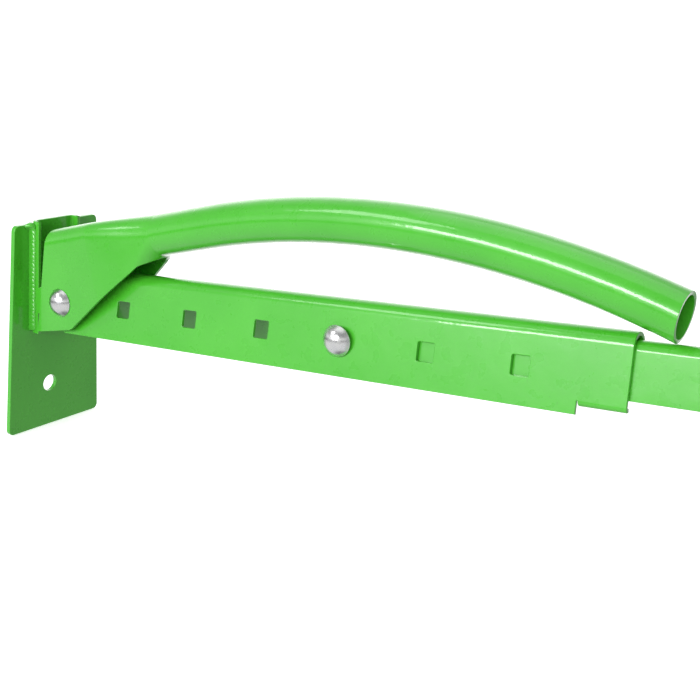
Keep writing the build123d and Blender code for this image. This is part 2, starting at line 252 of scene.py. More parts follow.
def powder_coat():
    """Gloss green powder coat: orange peel, a few specks, and a lighter green along the sheet edges that is
    thinner paint and also a painted highlight.
    """
    material = bpy.data.materials.new("green_powder_coat")
    nodes = Nodes(material)
    point = nodes.object_point()
    cloud = nodes.noise(point, 22.0, 3.0)
    grain = nodes.noise(point, 900.0, 2.0)
    green = nodes.mix(nodes.ramp(cloud, 0.35, 0.65), (0.056, 0.430, 0.020, 1), (0.068, 0.468, 0.026, 1))
    green = nodes.mix(nodes.ramp(grain, 0.3, 0.7, 0.0, 0.25), green, (0.050, 0.385, 0.018, 1))
    # Lighter green in patches on sharp edges: thinner paint there, and also a painted highlight on the edges.
    thin_paint_and_edge_highlight = edge_mask(nodes, 0.0008, 0.80, 0.97)
    patchy = nodes.ramp(nodes.noise(point, 260.0, 3.0), 0.40, 0.62)
    edge = nodes.math("MULTIPLY", thin_paint_and_edge_highlight, nodes.math("MULTIPLY", patchy, 0.35))
    green = nodes.mix(edge, green, (0.22, 0.62, 0.15, 1))
    speck = nodes.ramp(nodes.noise(point, 620.0, 0.0), 0.82, 0.86)
    green = nodes.mix(nodes.math("MULTIPLY", speck, 0.3), green, (0.04, 0.30, 0.02, 1))
    peel = nodes.noise(point, 420.0, 2.0, 0.55)
    wave = nodes.noise(point, 85.0, 1.0)
    normal = nodes.bump(wave, 0.00022, 0.55)
    normal = nodes.bump(peel, 0.00006, 0.55, normal)
    rough = nodes.ramp(nodes.noise(point, 140.0, 3.0), 0.3, 0.7, 0.24, 0.36)
    nodes.finish(
        {
            "Base Color": green,
            "Roughness": rough,
            "Specular IOR Level": 0.5,
            "Coat Weight": 0.85,
            "Coat Roughness": 0.07,
            "Coat IOR": 1.5,
            "Normal": normal,
            "Coat Normal": normal,
        }
    )
    return material


def zinc_plating():
    """Bright zinc: cold-forming grain, soft blotches and a duller, darker rim on the edges."""
    material = bpy.data.materials.new("zinc_plated_steel")
    nodes = Nodes(material)
    point = nodes.object_point()
    cloud = nodes.noise(point, 180.0, 3.0)
    tint = nodes.mix(nodes.ramp(cloud, 0.35, 0.65), (0.74, 0.75, 0.77, 1), (0.83, 0.83, 0.82, 1))
    worn = edge_mask(nodes, 0.0006, 0.85, 0.98)
    tint = nodes.mix(nodes.math("MULTIPLY", worn, 0.4), tint, (0.50, 0.50, 0.49, 1))
    grain = nodes.noise(point, 1500.0, 3.0, 0.7)
    dents = nodes.noise(point, 240.0, 2.0)
    normal = nodes.bump(dents, 0.00012, 0.5)
    normal = nodes.bump(grain, 0.00002, 0.5, normal)
    rough = nodes.ramp(nodes.noise(point, 500.0, 3.0), 0.3, 0.7, 0.20, 0.34)
    nodes.finish({"Base Color": tint, "Metallic": 1.0, "Roughness": rough, "Normal": normal})
    return material


def bare_steel():
    """Turned steel: fine rings round the bore and a film of grey oxide."""
    material = bpy.data.materials.new("bare_steel")
    nodes = Nodes(material)
    point = nodes.object_point()
    wave = {"Vector": point, "Scale": 900.0, "Distortion": 1.5}
    rings = nodes.add("ShaderNodeTexWave", wave, bands_direction="Y")
    cloud = nodes.noise(point, 150.0, 4.0)
    tint = nodes.mix(nodes.ramp(cloud, 0.35, 0.65), (0.40, 0.39, 0.38, 1), (0.56, 0.56, 0.57, 1))
    normal = nodes.bump(rings.outputs["Fac"], 0.00002, 0.5)
    rough = nodes.ramp(cloud, 0.3, 0.7, 0.30, 0.48)
    nodes.finish({"Base Color": tint, "Metallic": 1.0, "Roughness": rough, "Normal": normal})
    return material


def studio_floor():
    """Matt off-white floor with a faint mottle."""
    material = bpy.data.materials.new("studio_floor")
    nodes = Nodes(material)
    point = nodes.object_point()
    cloud = nodes.noise(point, 3.0, 3.0)
    tint = nodes.mix(nodes.ramp(cloud, 0.3, 0.7), (0.93, 0.93, 0.93, 1), (0.955, 0.955, 0.955, 1))
    normal = nodes.bump(nodes.noise(point, 240.0, 3.0), 0.0003, 0.2)
    nodes.finish(
        {
            "Base Color": tint,
            "Roughness": 0.75,
            "Specular IOR Level": 0.2,
            "Emission Color": (1, 1, 1, 1),
            "Emission Strength": FLOOR_GLOW,
            "Normal": normal,
        }
    )
    return material


MATERIALS = {
    "green_powder_coat": powder_coat(),
    "zinc_plated_steel": zinc_plating(),
    "bare_steel": bare_steel(),
}


# ---- meshes ------------------------------------------------------------------------------------
def even_shading(piece):
    weighted = piece.modifiers.new("even_shading", "WEIGHTED_NORMAL")
    weighted.keep_sharp = True
    weighted.weight = 90


def make_piece(node, points, faces):
    """A closed mesh, given in millimetres, that stands for one CAD node."""
    mesh = bpy.data.meshes.new(node)
    mesh.from_pydata([Vector(point) * MM for point in points], [], faces)
    work = bmesh.new()
    work.from_mesh(mesh)
    bmesh.ops.remove_doubles(work, verts=work.verts, dist=1e-7)
    bmesh.ops.dissolve_degenerate(work, dist=1e-8, edges=work.edges)
    bmesh.ops.recalc_face_normals(work, faces=work.faces)
    for face in work.faces:
        face.smooth = True
    work.to_mesh(mesh)
    work.free()
    mesh.materials.append(MATERIALS[SLOT_OF[node]])
    piece = bpy.data.objects.new(f"{node}_detailed", mesh)
    bpy.context.scene.collection.objects.link(piece)
    even_shading(piece)
    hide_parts(node)
    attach(piece, BODY_OF[node])
    return piece


def joined(parts):
    """Several (points, faces) pairs as one."""
    points, faces = [], []
    for some_points, some_faces in parts:
        start = len(points)
        points += some_points
        faces += [[start + index for index in face] for face in some_faces]
    return points, faces


def mirrored_x(part):
    points, faces = part
    return [(-x, y, z) for x, y, z in points], faces


def turned_about(part):
    points, faces = part
    return [(-x, -y, z) for x, y, z in points], faces


def shifted_loop(loop, distance):
    """A closed loop with every edge moved to its own left by distance, corners mitred."""
    count = len(loop)
    moved = []
    for index, (x, y) in enumerate(loop):
        before, after = loop[index - 1], loop[(index + 1) % count]
        first = Vector((x - before[0], y - before[1])).normalized()
        second = Vector((after[0] - x, after[1] - y)).normalized()
        left_first, left_second = Vector((-first.y, first.x)), Vector((-second.y, second.x))
        mitre = (left_first + left_second) / (1 + left_first.dot(left_second))
        moved.append((x + distance * mitre.x, y + distance * mitre.y))
    return moved


def sheet(outline, holes, thickness, bend, stations=()):
    """Sheet metal cut flat along closed loops, with rounded edges, then bent.

    outline turns left and holes turn right, so the metal lies on the left of both.  bend gives the
    place in space of a flat point and its depth under the outer face.  Each station is a pair of
    loop points that a line of the flat mesh has to join, so that the sheet can bend there.
    """
    quarter = [pi / 2 * step / ROUNDING_STEPS for step in range(ROUNDING_STEPS + 1)]
    front = [(ROUNDING * (1 - sin(a)), ROUNDING * (1 - cos(a))) for a in quarter]
    levels = front + [(inset, thickness - depth) for inset, depth in reversed(front)]
    points, faces, flat, loops = [], [], [], []
    lookup = {}
    for loop in [outline] + holes:
        count, start = len(loop), len(points)
        for inset, depth in levels:
            points += [bend(u, v, depth) for u, v in shifted_loop(loop, inset)]
        for level in range(len(levels) - 1):
            for index in range(count):
                a = start + level * count + index
                b = start + level * count + (index + 1) % count
                faces.append((a, b, b + count, a + count))
        loops.append([len(flat) + index for index in range(count)])
        for index, place in enumerate(shifted_loop(loop, ROUNDING)):
            lookup[len(flat)] = (start + index, start + (len(levels) - 1) * count + index)
            flat.append(Vector(place))

    def nearest(place):
        return min(range(len(flat)), key=lambda i: (flat[i] - Vector(place)).length)

    edges = [(nearest(a), nearest(b)) for a, b in stations]
    rings = [loops[0]] + [loop[::-1] for loop in loops[1:]]
    made = geometry.delaunay_2d_cdt(flat, edges, rings, 1, 1e-6)
    new_points, new_faces, old_of, sources = made[0], made[2], made[3], made[5]
    for face, source in zip(new_faces, sources):
        if list(source) == [0]:
            corners = [old_of[index][0] for index in face]
            faces.append([lookup[index][0] for index in corners])
            faces.append([lookup[index][1] for index in reversed(corners)])
    assert len(new_points) == len(flat)
    return points, faces


def circle_loop(u, v, radius, steps=CIRCLE_STEPS, turn=1):
    """turn is 1 for an outline and -1 for a hole."""
    angles = [turn * 2 * pi * index / steps for index in range(steps)]
    return [(u + radius * cos(a), v + radius * sin(a)) for a in angles]


def rounded_box_loop(u, v, half_u, half_v, corner, turn=1, steps=5):
    places = []
    for quadrant, (side_u, side_v) in enumerate(((1, 1), (-1, 1), (-1, -1), (1, -1))):
        for index in range(steps + 1):
            angle = pi / 2 * (quadrant + index / steps)
            places.append(
                (
                    u + side_u * (half_u - corner) + corner * cos(angle),
                    v + side_v * (half_v - corner) + corner * sin(angle),
                )
            )
    return places[::turn]


# ---- channels ----------------------------------------------------------------------------------
class Arch:
    """Cross-section of a channel: two leaning walls and a round top, unrolled along the outside."""

    def __init__(self, half_width, top, bottom):
        self.bottom = bottom
        self.radius = (half_width * cos(LEAN) - top * sin(LEAN)) / (1 - sin(LEAN))
        self.centre = top - self.radius
        self.half_width = half_width
        shoulder = self.centre + self.radius * sin(LEAN)
        self.wall = (shoulder - bottom) / cos(LEAN)
        self.arc = self.radius * (pi - 2 * LEAN)
        self.length = 2 * self.wall + self.arc

    def up_wall(self, z):
        """Unrolled distance from the front foot to this height on the front wall."""
        return (z - self.bottom) / cos(LEAN)

    def place(self, v, depth):
        """(y, z) of an unrolled point, z from the hole line."""
        side = -1
        if v > self.length / 2:
            v, side = self.length - v, 1
        if v <= self.wall:
            foot = self.half_width - self.bottom * tan(LEAN)
            y, z = foot - v * sin(LEAN), self.bottom + v * cos(LEAN)
            rise = LEAN
        else:
            rise = LEAN + (v - self.wall) / self.radius
            y, z = self.radius * cos(rise), self.centre + self.radius * sin(rise)
        return side * (y - depth * cos(rise)), z - depth * sin(rise)

    def arc_stations(self, count=22):
        return [self.wall + self.arc * index / count for index in range(count + 1)]


def square_hole(u, v):
    half = SQUARE_HOLE / 2
    return rounded_box_loop(u, v, half, half, HOLE_CORNER, -1)


def bush_hole(u, v):
    return circle_loop(u, v, BUSH_RADIUS + BUSH_CLEARANCE, CIRCLE_STEPS, -1)


def mirrored_loop(loop, length):
    """The same hole in the back wall."""
    return [(u, length - v) for u, v in reversed(loop)]


class Lip:
    """The fold at the foot of the outer channel's mouth, from the leaning wall to flat underneath."""

    def __init__(self, arch):
        self.arch = arch
        self.centre_z = LIP_UNDERSIDE + LIP_BEND
        start_z = self.centre_z + LIP_BEND * sin(LEAN)
        wall_y = arch.half_width - start_z * tan(LEAN)
        self.centre_y = wall_y - LIP_BEND * cos(LEAN)
        self.start = arch.up_wall(start_z)
        self.turn = LIP_BEND * (pi / 2 + LEAN)
        face_y = arch.half_width - (LIP_UNDERSIDE + SHEET) * tan(LEAN)
        self.end = self.start - self.turn - (self.centre_y - (face_y - LIP_REACH))

    def place(self, v, depth):
        """(y, z) for the front lip, with v below the fold's start."""
        past = self.start - v
        if past <= self.turn:
            rise = LEAN - past / LIP_BEND
            reach = LIP_BEND - depth
            return -(self.centre_y + reach * cos(rise)), self.centre_z + reach * sin(rise)
        return -(self.centre_y - (past - self.turn)), LIP_UNDERSIDE + depth

    def stations(self, count=8):
        return [self.start - self.turn * index / count for index in range(count + 1)]


def outer_channel():
    arch = Arch(CHANNEL_HALF_WIDTH, CHANNEL_TOP, CHANNEL_BOTTOM)
    lip = Lip(arch)
    length = arch.length
    left, right = CHANNEL_LEFT_X, CHANNEL_RIGHT_X
    slot_left = right - LIP_LENGTH - LIP_SLOT
    lip_left = right - LIP_LENGTH
    slot_top = lip.start
    chamfer = arch.up_wall(CHANNEL_BOTTOM + END_CHAMFER_Z)
    folds = sorted(lip.stations())
    arcs = arch.arc_stations()

    def bend(u, v, depth):
        mirror_back = v > length / 2
        near = length - v if mirror_back else v
        if u > slot_left + LIP_SLOT / 2 and near < lip.start:
            y, z = lip.place(near, depth)
            return u, (-y if mirror_back else y), HOLE_LINE_Z + z
        y, z = arch.place(v, depth)
        return u, y, HOLE_LINE_Z + z

    front = [
        (left + END_CHAMFER_X, 0),
        (slot_left, 0),
        (slot_left, slot_top),
        (lip_left, slot_top),
    ]
    front += [(lip_left, v) for v in reversed(folds[:-1])]
    front += [(lip_left + LIP_CORNER, lip.end), (right - LIP_CORNER, lip.end)]
    front += [(right, lip.end + LIP_CORNER)]
    front += [(right, v) for v in folds if v > lip.end + LIP_CORNER + 0.05]
    back = [(u, length - v) for u, v in reversed(front)]
    ends = [(left, length - chamfer)] + [(left, v) for v in reversed(arcs)] + [(left, chamfer)]
    outline = front + [(right, v) for v in arcs] + back + ends
    stations = [((left, v), (right, v)) for v in arcs]
    stations += [((lip_left, v), (right, v)) for v in folds]
    stations += [((lip_left, length - v), (right, length - v)) for v in folds]

    hole_v = arch.up_wall(0)
    holes = [square_hole(FIRST_HOLE_X + index * HOLE_PITCH, hole_v) for index in range(HOLE_COUNT)]
    holes.append(bush_hole(LEFT_PIVOT.x, arch.up_wall(HOLE_LINE_DROP)))
    holes += [mirrored_loop(loop, length) for loop in holes]
    make_piece("outer_channel", *sheet(outline, holes, SHEET, bend, stations))


def inner_channel():
    drop = CHANNEL_TOP - SHEET - INNER_TOP
    half_width = CHANNEL_HALF_WIDTH - SHEET / cos(LEAN) - drop * tan(LEAN)
    arch = Arch(half_width, INNER_TOP, INNER_BOTTOM)
    length = arch.length
    left, right = INNER_LEFT_X, INNER_RIGHT_X
    arcs = arch.arc_stations()

    def bend(u, v, depth):
        y, z = arch.place(v, depth)
        return u, y, HOLE_LINE_Z + z

    outline = [(left, 0), (right, 0)] + [(right, v) for v in arcs]
    outline += [(right, length), (left, length)] + [(left, v) for v in reversed(arcs)]
    stations = [((left, v), (right, v)) for v in arcs]
    holes = [square_hole(LOCK_X, arch.up_wall(0))]
    holes.append(bush_hole(RIGHT_PIVOT.x, arch.up_wall(HOLE_LINE_DROP)))
    holes += [mirrored_loop(loop, length) for loop in holes]
    make_piece("inner_channel", *sheet(outline, holes, SHEET, bend, stations))


# ---- end plates and brackets -------------------------------------------------------------------
def from_plate(out, y, up):
    """A point of the left plate's own frame in the row's frame; out and up from the pivot."""
    x = LEFT_PIVOT.x + out * cos(PLATE_TILT) + up * sin(PLATE_TILT)
    z = LEFT_PIVOT.z - out * sin(PLATE_TILT) + up * cos(PLATE_TILT)
    return x, y, z


def end_plate():
    """A plate tapering to its head; u is across it from its own centre line, v up from the pivot."""
    half_height = (PLATE_BELOW_PIVOT + PLATE_ABOVE_PIVOT) / 2
    middle = (PLATE_ABOVE_PIVOT - PLATE_BELOW_PIVOT) / 2
    foot, head = PLATE_FOOT_WIDTH / 2, PLATE_HEAD_WIDTH / 2
    square = rounded_box_loop(0, middle, foot, half_height, PLATE_CORNER, 1, 8)
    outline = []
    for u, v in square:
        share = (v + PLATE_BELOW_PIVOT) / (2 * half_height)
        outline.append((u * (1 + (head / foot - 1) * share), v))
    hole_up = PLATE_HOLE_UP - PLATE_BELOW_PIVOT
    hole = circle_loop(-PLATE_SIDE_SHIFT, hole_up, PLATE_HOLE_RADIUS, CIRCLE_STEPS, -1)

    def bend(u, v, depth):
        return from_plate(-PIVOT_FROM_PLATE - depth, u + PLATE_SIDE_SHIFT, v)

    return sheet(outline, [hole], PLATE_THICKNESS, bend)


def bracket(square_neck):
    """U bracket, unrolled across: v is the distance from the middle of the web."""
    flat_half = BRACKET_HALF_WIDTH - BRACKET_BEND
    turn = BRACKET_BEND * pi / 2
    flange_start = flat_half + turn

    def across(out_from_web):
        return flange_start + out_from_web - BRACKET_BEND

    def bend(u, v, depth):
        side, v = (1, v) if v > 0 else (-1, -v)
        root = -PIVOT_FROM_PLATE
        if v <= flat_half:
            return from_plate(root + depth, side * v, u)
        if v <= flange_start:
            angle = (v - flat_half) / BRACKET_BEND
            reach = BRACKET_BEND - depth
            return from_plate(
                root + BRACKET_BEND - reach * cos(angle), side * (flat_half + reach * sin(angle)), u
            )
        return from_plate(
            root + BRACKET_BEND + v - flange_start, side * (BRACKET_HALF_WIDTH - depth), u
        )

    arc_steps = 22
    boss = []
    for index in range(arc_steps + 1):
        angle = BOSS_MEETS_LOW + (BOSS_MEETS_HIGH - BOSS_MEETS_LOW) * index / arc_steps
        boss.append(
            (BOSS_RADIUS * sin(angle), across(PIVOT_FROM_PLATE + BOSS_RADIUS * cos(angle)))
        )
    bends = [flat_half + turn * index / 6 for index in range(7)]
    low, high = -BRACKET_BELOW_PIVOT, BRACKET_ABOVE_PIVOT
    edge = across(FLANGE_WIDTH)
    one_side = [(low, v) for v in bends] + [(low, edge), (EAR_LOW, edge)] + boss
    one_side += [(EAR_HIGH, edge), (high, edge)] + [(high, v) for v in reversed(bends)]
    other_side = [(u, -v) for u, v in reversed(one_side)]
    outline = (one_side + other_side)[::-1]
    stations = [((low, side * v), (high, side * v)) for v in bends for side in (-1, 1)]
    pivot_v = across(PIVOT_FROM_PLATE)
    round_hole = circle_loop(0, pivot_v, SHANK_RADIUS + PIN_CLEARANCE, CIRCLE_STEPS, 1)
    front_hole = [(u, -v) for u, v in round_hole]
    if square_neck:
        half = NECK_HOLE / 2
        front_hole = rounded_box_loop(0, -pivot_v, half, half, NECK_CORNER, -1)
    holes = [round_hole[::-1], front_hole]
    return sheet(outline, holes, BRACKET_SHEET, bend, stations)


def weld_bead(side):
    """A fillet weld laid as overlapping ripples down the outside of one flange."""
    low, high = WELD_END_GAP - BRACKET_BELOW_PIVOT, BRACKET_ABOVE_PIVOT - WELD_END_GAP
    rings, around = 300, 14
    points, faces = [], []
    for ring in range(rings + 1):
        up = low + (high - low) * ring / rings
        wander = noise.noise(Vector((up * 0.35, side * 3.0, 0.0)))
        phase = (up + 0.5 * wander) / WELD_RIPPLE
        crest = 1 - (phase - floor(phase)) ** 1.6
        end = min(1.0, (up - low) / 2.0 + 0.25, (high - up) / 1.6 + 0.2)
        size = sqrt(end) * (0.86 + 0.14 * crest + 0.08 * wander)
        from_blob = (high - WELD_BLOB_DOWN - up) / WELD_BLOB_REACH
        blob = WELD_BLOB * max(0.0, 1 - from_blob**2) * sqrt(end)
        on_plate = WELD_ON_PLATE * size + blob
        on_flange = WELD_ON_FLANGE * size
        for step in range(around + 1):
            share = step / around
            angle = pi / 2 * share
            swell = 0.72 + 0.28 * (2 * share - 1) ** 2
            bulge = (0.06 + 0.16 * crest) * sin(2 * angle)
            lag = 1.1 * sin(pi * share)
            out = -PIVOT_FROM_PLATE + on_flange * (swell + bulge) * sin(angle)
            across = BRACKET_HALF_WIDTH + on_plate * (swell + bulge) * cos(angle)
            points.append(from_plate(out, side * across, min(high, up + lag * end)))
        buried = BRACKET_HALF_WIDTH - WELD_ROOT
        points.append(from_plate(-PIVOT_FROM_PLATE - WELD_BITE, side * buried, up))
    width = around + 2
    for ring in range(rings):
        for step in range(width):
            a, b = ring * width + step, ring * width + (step + 1) % width
            faces.append((a, b, b + width, a + width))
    faces.append(list(range(width)))
    faces.append([rings * width + step for step in reversed(range(width))])
    return points, faces


# ---- lever -------------------------------------------------------------------------------------
class LeverLine:
    """The lever's centre line: straight, then an arc of one radius."""

    def __init__(self):
        rise = sqrt(ARC_RADIUS**2 - ARC_START**2)
        self.along = Vector((rise, 0, ARC_START)).normalized()
        self.up = Vector((-self.along.z, 0, self.along.x))
        self.apex = LEFT_PIVOT + Vector((ARC_APEX[0], 0, ARC_APEX[1]))
        self.arc_centre = self.apex - Vector((0, 0, ARC_RADIUS))
        self.corner = self.arc_centre + Vector((-ARC_START, 0, rise))
        self.start_distance = ARC_APEX[0] - ARC_START

    def straight(self, distance):
        return self.corner + self.along * (distance - self.start_distance)

    def arc_frame(self, angle):
        """Centre and up direction at an angle from the apex, positive to the right."""
        up = Vector((sin(angle), 0, cos(angle)))
        return self.arc_centre + up * ARC_RADIUS, up


def section_point(distance, share):
    """Outside of the lever's straight part: (y, up) at a share of the way from top to bottom."""
    blend = max(0.0, min(1.0, (TUBE_START - distance) / (TUBE_START - CLEVIS_START)))
    blend = 0.5 * blend + 0.5 * blend * blend * (3 - 2 * blend)
    half = TUBE_RADIUS + blend * (CLEVIS_HALF_WIDTH - TUBE_RADIUS)
    top = TUBE_RADIUS + blend * (CLEVIS_TOP - TUBE_RADIUS)
    bottom = TUBE_RADIUS + blend * (CLEVIS_DEPTH - TUBE_RADIUS)
    corner = min(TUBE_RADIUS + blend * (CLEVIS_CORNER - TUBE_RADIUS), half - 0.01)
    flat, quarter, side = half - corner, corner * pi / 2, top + bottom - 2 * corner
    run = share * (2 * flat + 2 * quarter + side)
    if run <= flat:
        return run, top
    run -= flat
    if run <= quarter:
        return flat + corner * sin(run / corner), top - corner + corner * cos(run / corner)
    run -= quarter
    if run <= side:
        return half, top - corner - run
    run -= side
    if run <= quarter:
        angle = run / corner
        return flat + corner * cos(angle), -bottom + corner - corner * sin(angle)
    return flat - (run - quarter), -bottom


def cheek_edge(x):
    """Height of the clevis's lower edge above the left pivot, x from the pivot."""
    (x0, z0), (x1, z1), (x2, z2), (x3, z3) = CHEEK_LOW_LEFT, CHEEK_LOW, SLIT_CORNER, SLIT_END
    if x < x1:
        return z0 + (z1 - z0) * (x - x0) / (x1 - x0)
    if x < x2:
        return z1 + (z2 - z1) * (x - x1) / (x2 - x1)
    ease = min(1.0, (x - x2) / (x3 - x2))
    return z2 + (z3 - z2) * ease


def heel_shift(up):
    """Distance along the straight line of the slanted left edge, this far up from the line."""
    line = LeverLine()
    low = LEFT_PIVOT + Vector((HEEL_LOW[0], 0, HEEL_LOW[1]))
    high = LEFT_PIVOT + Vector((HEEL_HIGH[0], 0, HEEL_HIGH[1]))
    run = high - low
    start = line.straight(0) + line.up * up - low
    cross = run.x * line.along.z - run.z * line.along.x
    return (start.x * run.z - start.z * run.x) / cross


def lever():
    """The skin of the lever as a grid from the clevis's slanted heel to the tube's mouth."""
    line = LeverLine()
    ring_half = LEVER_RING_HALF
    straights = [index / HEEL_ROWS * CLEVIS_START for index in range(HEEL_ROWS)]
    straights += [CLEVIS_START + index * CLEVIS_ROW_SPACING for index in range(CLEVIS_ROWS)]
    rows = []

    def skin(distance, warp, share):
        y, up = section_point(distance, share)
        place = distance + warp * heel_shift(up)
        return y, line.straight(place) + line.up * up

    def below_edge(distance, warp, share):
        spot = skin(distance, warp, share)[1]
        return spot.z - LEFT_PIVOT.z < cheek_edge(spot.x - LEFT_PIVOT.x)

    def last_share(distance, warp, steps=400):
        """Where the skin meets the lower edge: a coarse search, then halving."""
        for step in range(1, steps + 1):
            if below_edge(distance, warp, step / steps):
                low, high = (step - 1) / steps, step / steps
                for _ in range(20):
                    middle = (low + high) / 2
                    below = below_edge(distance, warp, middle)
                    low, high = (low, middle) if below else (middle, high)
                return low
        return 1.0

    for distance in straights:
        warp = max(0.0, 1 - distance / CLEVIS_START)
        last = last_share(distance, warp)
        row = []
        for index in range(-ring_half, ring_half + 1):
            y, spot = skin(distance, warp, last * abs(index) / ring_half)
            row.append(Vector((spot.x, y if index > 0 else -y, spot.z)))
        rows.append(row)
    tube_from = -atan2(ARC_START, sqrt(ARC_RADIUS**2 - ARC_START**2))
    tube_to = atan2(ARC_END, sqrt(ARC_RADIUS**2 - ARC_END**2))
    spots = [(line.straight(TUBE_START + step * 7), line.up) for step in range(4)]
    turn = tube_to - tube_from
    spots += [line.arc_frame(tube_from + turn * step / ARC_ROWS) for step in range(ARC_ROWS + 1)]
    mouth = spots[-1][0]
    mouth_slope = tan(MOUTH_LEAN - tube_to)
    for centre, up in spots:
        forward = Vector((up.z, 0, -up.x))
        slope = mouth_slope * max(0.0, 1 - (mouth - centre).length / MOUTH_EASE)
        row = []
        for index in range(-ring_half, ring_half + 1):
            angle = pi * index / ring_half
            height = TUBE_RADIUS * cos(angle)
            side = Vector((0, TUBE_RADIUS * sin(angle), 0))
            row.append(centre + up * height + side + forward * (slope * height))
        rows.append(row)
    width = 2 * ring_half + 1
    points = [point for row in rows for point in row]
    faces = []
    for row in range(len(rows) - 1):
        for column in range(width - 1):
            a = row * width + column
            faces.append((a, a + 1, a + 1 + width, a + width))
    return points, faces


def make_lever():
    points, faces = lever()
    piece = make_piece("lever_tube", points, faces)
    piece.modifiers.clear()
    work = bmesh.new()
    work.from_mesh(piece.data)
    middle = LeverLine().straight(TUBE_START + 10)
    probe = min(work.faces, key=lambda face: (face.calc_center_median() / MM - middle).length)
    outward = probe.calc_center_median() / MM - middle
    if probe.normal.dot(outward) < 0:
        bmesh.ops.reverse_faces(work, faces=work.faces)
    work.to_mesh(piece.data)
    work.free()
    wall = piece.modifiers.new("wall", "SOLIDIFY")
    wall.thickness = SHEET * MM
    wall.offset = -1
    wall.use_even_offset = True
    edges = piece.modifiers.new("edges", "BEVEL")
    edges.width = ROUNDING * MM
    edges.segments = 3
    edges.limit_method = "ANGLE"
    edges.angle_limit = radians(50)
    even_shading(piece)


# ---- bolts, nuts, washers ----------------------------------------------------------------------
def spun(profile, steps=72):
    """(radius, height) pairs spun round the Z axis; either may be a function of the angle."""
    points, faces = [], []
    for radius, height in profile:
        for step in range(steps):
            angle = 2 * pi * step / steps
            r = radius(angle) if callable(radius) else radius
            h = height(angle) if callable(height) else height
            points.append((r * cos(angle), r * sin(angle), h))
    for ring in range(len(profile) - 1):
        for step in range(steps):
            a, b = ring * steps + step, ring * steps + (step + 1) % steps
            faces.append((a, b, b + steps, a + steps))
    return points, faces


def capped(part, steps=72):
    """Closes both ends of a spun shape with flat faces."""
    points, faces = part
    last = len(points) - steps
    faces = faces + [list(reversed(range(steps))), [last + step for step in range(steps)]]
    return points, faces


def laid_across(part, x, y, z, turn=0.0):
    """Turns a part built up +Z so that its +Z points to the front, at a point of the row frame."""
    points, faces = part
    matrix = Matrix.Rotation(turn, 4, "Y") @ Matrix.Rotation(pi / 2, 4, "X")
    return [tuple(matrix @ Vector(point) + Vector((x, y, z))) for point in points], faces


def carriage_bolt(seat, tip, neck_length):
    """Domed head above Z 0, square neck and threaded shank below."""
    dome = (HEAD_RADIUS**2 + HEAD_HEIGHT**2) / (2 * HEAD_HEIGHT)
    widest = acos((dome - HEAD_HEIGHT) / dome)
    rim = 0.35
    profile = [(HEAD_RADIUS - rim, 0.0), (HEAD_RADIUS - 0.1, 0.1), (HEAD_RADIUS, rim)]
    for step in range(15, -1, -1):
        angle = widest * step / 16
        profile.append((dome * sin(angle), HEAD_HEIGHT - dome + dome * cos(angle)))
    length = tip + seat
    turns_from = length - THREAD_LENGTH
    rows = [(SHANK_RADIUS, -neck_length + 0.2), (SHANK_RADIUS, -turns_from)]
    steps = 60

    def thread(down):
        def radius(angle):
            phase = (down / THREAD_PITCH + angle / (2 * pi)) % 1.0
            tooth = abs(2 * phase - 1)
            fade = min(1.0, (length - down) / 1.2, (down - turns_from) / 1.5)
            point = max(0.0, 1 - (length - down) / 0.9)
            return SHANK_RADIUS - THREAD_DEPTH * max(fade, 0.0) * tooth - 0.6 * point
        return radius

    for index in range(1, steps * 2 + 1):
        down = turns_from + (length - turns_from) * index / (steps * 2)
        rows.append((thread(down), -down))
    head = capped(spun(profile))
    shank = capped(spun(rows))
    neck = rounded_prism(NECK / 2, neck_length)
    return joined([head, shank, neck])


def rounded_prism(half, length):
    """The bolt's square neck, reaching a little way up into its head."""
    loop = rounded_box_loop(0, 0, half, half, NECK_CORNER, 1, 3)
    count = len(loop)
    points = [(x, y, 0.3) for x, y in loop] + [(x, y, -length) for x, y in loop]
    faces = [(i, (i + 1) % count, (i + 1) % count + count, i + count) for i in range(count)]
    faces += [list(reversed(range(count))), [count + i for i in range(count)]]
    return points, faces


def lock_nut():
    """Hexagon nut with chamfered corners and a round locking collar; it opens down from Z 0."""
    apothem = NUT_FLATS / 2
    bore = SHANK_RADIUS - 0.25
    face_radius = 0.95 * apothem

    def hexagon(angle):
        return apothem / cos((angle + pi / 6) % (pi / 3) - pi / 6)

    def corner_drop(angle):
        return (hexagon(angle) - face_radius) * tan(NUT_CHAMFER)

    collar, top = 0.42 * NUT_FLATS, NUT_HEIGHT + COLLAR_HEIGHT
    profile = [
        (bore, 0.6), (bore + 0.5, 0.0), (face_radius - 0.2, 0.0), (face_radius, 0.02),
        (hexagon, corner_drop),
        (hexagon, lambda angle: NUT_HEIGHT - corner_drop(angle)),
        (face_radius, NUT_HEIGHT - 0.02), (face_radius - 0.2, NUT_HEIGHT), (collar + 0.15, NUT_HEIGHT),
        (collar, NUT_HEIGHT + 0.2), (collar, top - 0.6), (collar - 0.15, top - 0.25),
        (collar - 0.6, top), (bore + 0.6, top), (bore + 0.15, top - 0.2), (bore, top - 0.6), (bore, 0.6),
    ]
    return spun(profile)


def washer():
    outline = circle_loop(0, 0, WASHER_RADIUS, 64, 1)
    hole = circle_loop(0, 0, SHANK_RADIUS + WASHER_CLEARANCE, 64, -1)
    return sheet(outline, [hole], WASHER_THICKNESS, lambda u, v, depth: (u, v, -depth))


